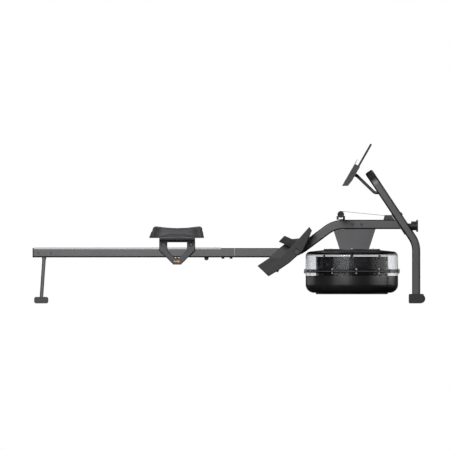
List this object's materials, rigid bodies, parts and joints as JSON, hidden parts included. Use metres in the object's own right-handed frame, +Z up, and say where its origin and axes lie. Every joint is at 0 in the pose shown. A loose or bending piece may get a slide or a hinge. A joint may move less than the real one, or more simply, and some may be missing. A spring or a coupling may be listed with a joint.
{
  "type": "water rowing machine",
  "caption": "Water rowing machine: a seat rolls on a level rail, a handle on a strap turns an impeller in a round water tank, and a leaning hoop carries the beam and a tilting console.",
  "frame": {"origin": "on the floor, under the middle of the machine", "axes": "+X along the rail towards the tank and hoop, +Z up, +Y to the left of the rower"},
  "size_m": [2.0934, 0.52, 0.8523],
  "materials": {
    "frame_paint": "satin powder coat, dark grey",
    "running_aluminium": "anodised, satin",
    "bright_zinc": "zinc plated",
    "black_steel": "black oxide",
    "black_plastic": "fine texture",
    "grey_plastic": "fine texture",
    "tank_clear": "polished, smoke tinted, see-through",
    "tank_dark": "polished",
    "screen_glass": "glossy",
    "strap_webbing": "woven webbing",
    "grip_foam": "matte foam",
    "wheel_rubber": "matte",
    "gasket_rubber": "matte",
    "seat_cover": "matte imitation leather"
  },
  "bodies": {
    "frame": {"seat_rail": "frame_paint", "running_strip": "running_aluminium", "rail_end_cap": "black_plastic", "rail_stops": "black_plastic", "splice_tube": "bright_zinc", "frame_bolts": "black_steel", "main_beam": "frame_paint", "support_hoop": "frame_paint", "front_foot_tube": "frame_paint", "front_caps": "black_plastic", "wheel_axles": "bright_zinc", "storage_feet": "black_plastic", "rear_leg": "frame_paint", "rear_foot_tube": "frame_paint", "rear_caps": "grey_plastic", "footrest_axle": "bright_zinc", "footboard_left": "grey_plastic", "footboard_right": "grey_plastic", "foot_straps": "strap_webbing", "heel_pins": "black_plastic", "housing_left": "frame_paint", "housing_right": "frame_paint", "top_plate": "black_steel", "tank_upper": "tank_clear", "tank_lower": "tank_dark", "tank_gasket": "gasket_rubber", "tank_bolts": "bright_zinc", "inner_tank": "tank_dark", "inner_lid": "black_plastic", "base_disc": "black_plastic", "shaft_bearings": "bright_zinc", "recoil_spring": "bright_zinc", "pulley_box": "grey_plastic", "inner_strap": "strap_webbing", "handle_holder": "black_plastic", "console_arm": "frame_paint"},
    "seat": {"seat_pad": "seat_cover", "carriage": "frame_paint"},
    "front_rollers": {"front_rollers": "black_plastic"},
    "rear_rollers": {"rear_rollers": "black_plastic"},
    "guide_roller": {"guide_roller": "black_plastic"},
    "handle": {"handle_bar": "bright_zinc", "handle_grips": "grip_foam", "drive_strap": "strap_webbing"},
    "impeller": {"impeller": "bright_zinc", "one_way_clutch": "bright_zinc"},
    "spool": {"strap_spool": "black_plastic"},
    "front_pulley": {"front_pulley": "black_plastic"},
    "wheel_left": {"wheel_left": "wheel_rubber"},
    "wheel_right": {"wheel_right": "wheel_rubber"},
    "console": {"console_body": "grey_plastic", "console_back": "grey_plastic", "console_screen": "screen_glass", "tablet_holder": "grey_plastic"},
    "button_left": {"button_left": "grey_plastic"},
    "button_middle": {"button_middle": "grey_plastic"},
    "button_right": {"button_right": "grey_plastic"},
    "heel_left": {"heel_cup_left": "grey_plastic"},
    "heel_right": {"heel_cup_right": "grey_plastic"},
    "fill_plug": {"fill_plug": "black_plastic"}
  },
  "joints": [
    {"name": "seat_slide", "type": "slide", "parent": "frame", "child": "seat", "axis": [1, 0, 0], "range_m": [-0.65, 0.13]},
    {"name": "front_rollers_spin", "type": "hinge", "parent": "seat", "child": "front_rollers", "pos_m": [-0.20225, 0, 0.31405], "axis": [0, 1, 0], "continuous": true},
    {"name": "rear_rollers_spin", "type": "hinge", "parent": "seat", "child": "rear_rollers", "pos_m": [-0.34925, 0, 0.31405], "axis": [0, 1, 0], "continuous": true},
    {"name": "guide_roller_spin", "type": "hinge", "parent": "seat", "child": "guide_roller", "pos_m": [-0.27575, 0, 0.2312], "axis": [0, 1, 0], "continuous": true},
    {"name": "handle_pull", "type": "slide", "parent": "frame", "child": "handle", "axis": [-0.9659, 0, 0.2588], "range_m": [0, 1.1], "stiffness_N_per_m": 8, "springref_m": -1.2, "deforming": ["drive_strap"]},
    {"name": "spool_spin", "type": "hinge", "parent": "frame", "child": "spool", "pos_m": [0.65532, 0, 0.367], "axis": [0, 0, 1], "continuous": true},
    {"name": "front_pulley_spin", "type": "hinge", "parent": "frame", "child": "front_pulley", "pos_m": [0.85332, 0, 0.4465], "axis": [0, 1, 0], "continuous": true},
    {"name": "impeller_spin", "type": "hinge", "parent": "frame", "child": "impeller", "pos_m": [0.65532, 0, 0.1], "axis": [0, 0, 1], "continuous": true},
    {"name": "wheel_left_spin", "type": "hinge", "parent": "frame", "child": "wheel_left", "pos_m": [1.02225, 0.242, 0.0253], "axis": [0, 1, 0], "continuous": true},
    {"name": "wheel_right_spin", "type": "hinge", "parent": "frame", "child": "wheel_right", "pos_m": [1.02225, -0.242, 0.0253], "axis": [0, 1, 0], "continuous": true},
    {"name": "console_tilt", "type": "hinge", "parent": "frame", "child": "console", "pos_m": [0.68502, 0, 0.67842], "axis": [0, 1, 0], "range_deg": [-20, 20]},
    {"name": "button_left_press", "type": "slide", "parent": "console", "child": "button_left", "axis": [0.8686, 0, -0.4955], "range_m": [0, 0.0015], "stiffness_N_per_m": 200},
    {"name": "button_middle_press", "type": "slide", "parent": "console", "child": "button_middle", "axis": [0.8686, 0, -0.4955], "range_m": [0, 0.0015], "stiffness_N_per_m": 200},
    {"name": "button_right_press", "type": "slide", "parent": "console", "child": "button_right", "axis": [0.8686, 0, -0.4955], "range_m": [0, 0.0015], "stiffness_N_per_m": 200},
    {"name": "heel_left_slide", "type": "slide", "parent": "frame", "child": "heel_left", "axis": [0.6947, 0, 0.7193], "range_m": [-0.06, 0]},
    {"name": "heel_right_slide", "type": "slide", "parent": "frame", "child": "heel_right", "axis": [0.6947, 0, 0.7193], "range_m": [-0.06, 0]},
    {"name": "fill_plug_lift", "type": "slide", "parent": "frame", "child": "fill_plug", "axis": [0, 0, 1], "range_m": [0, 0.06]}
  ],
  "couplings": [
    {"joint": "front_rollers_spin", "follows": "seat_slide", "rad_per_m": 62.5},
    {"joint": "rear_rollers_spin", "follows": "seat_slide", "rad_per_m": 62.5},
    {"joint": "guide_roller_spin", "follows": "seat_slide", "rad_per_m": -74.074},
    {"joint": "spool_spin", "follows": "handle_pull", "rad_per_m": 31.949},
    {"joint": "front_pulley_spin", "follows": "handle_pull", "rad_per_m": -51.813}
  ]
}
